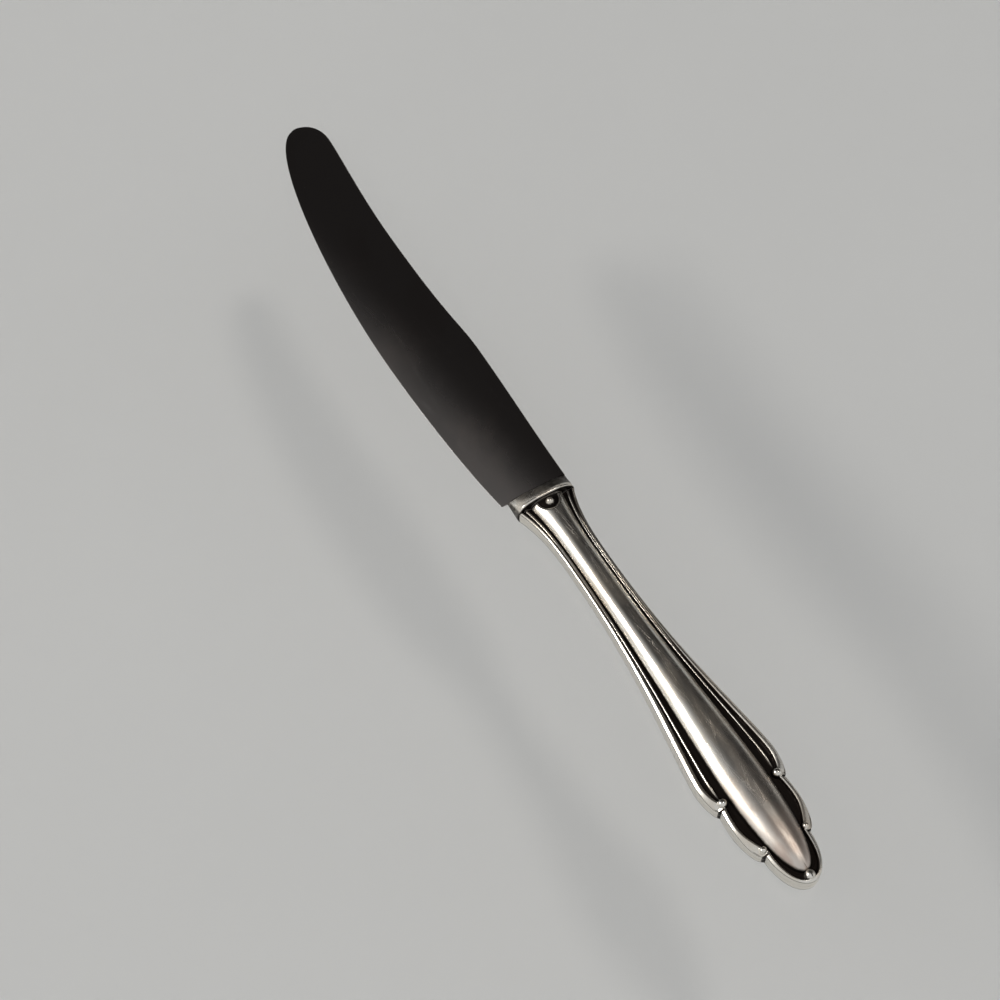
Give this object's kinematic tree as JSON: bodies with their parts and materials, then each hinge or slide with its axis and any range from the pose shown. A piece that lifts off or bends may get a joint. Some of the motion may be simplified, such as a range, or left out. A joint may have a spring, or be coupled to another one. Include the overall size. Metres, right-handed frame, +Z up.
{
  "type": "table knife",
  "caption": "Table knife for cutting and spreading: a round-tipped steel blade set with cement into a hollow, lobed and reeded silver handle.",
  "frame": {"origin": "on the table plane, under the middle of the flat land along the crown of the back shell that the knife lies on", "axes": "+X along the handle towards the tip of the blade, +Y towards the cutting edge, +Z up from the table through the front shell"},
  "size_m": [0.246, 0.0235, 0.0096],
  "materials": {
    "steel": "mirror-polished stainless steel with fine wiping scratches",
    "silver": "polished silver with dark tarnish in the grooves and fine handling scratches",
    "solder": "hard silver solder, dressed flush",
    "cement": "dull set cement"
  },
  "bodies": {
    "root": {"blade": "steel", "handle_front_shell": "silver", "handle_back_shell": "silver", "seam_solder": "solder", "mouth_cap": "silver", "cap_solder": "solder", "cement_core": "cement"}
  },
  "joints": []
}
